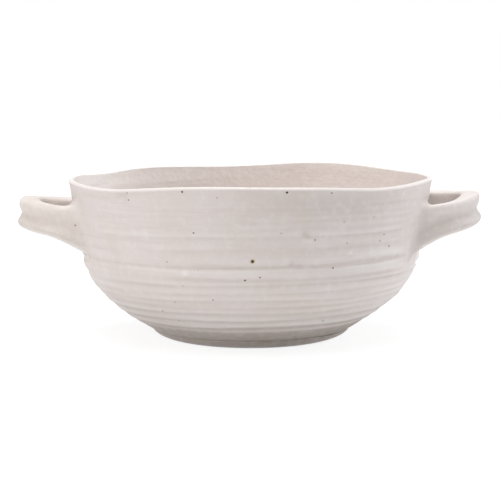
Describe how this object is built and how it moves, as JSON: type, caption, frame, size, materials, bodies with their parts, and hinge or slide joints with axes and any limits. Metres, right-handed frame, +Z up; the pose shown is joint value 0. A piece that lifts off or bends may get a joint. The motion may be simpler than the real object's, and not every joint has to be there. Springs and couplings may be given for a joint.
{
  "type": "soup bowl",
  "caption": "Wheel-thrown stoneware soup bowl: steep wall with throwing rings, round belly, low foot ring and a looped strap handle on each side for lifting.",
  "frame": {"origin": "on the table, at the centre of the foot ring's contact face under the bowl's axis", "axes": "+Z up along the bowl's axis, +X to the right handle, -Y to the front of the bowl as pictured"},
  "size_m": [0.2186, 0.1696, 0.0764],
  "materials": {
    "bowl_glaze": "satin-matte off-white glaze with iron specks",
    "foot_glaze": "satin-matte off-white glaze, wiped thin on the foot",
    "handle_glaze": "satin-matte off-white glaze, a little warmer over the edges",
    "luting_glaze": "satin-matte off-white glaze over smoothed clay"
  },
  "bodies": {
    "root": {"bowl_body": "bowl_glaze", "foot_ring": "foot_glaze", "left_handle": "handle_glaze", "right_handle": "handle_glaze", "left_front_luting": "luting_glaze", "left_rear_luting": "luting_glaze", "right_front_luting": "luting_glaze", "right_rear_luting": "luting_glaze"}
  },
  "joints": []
}
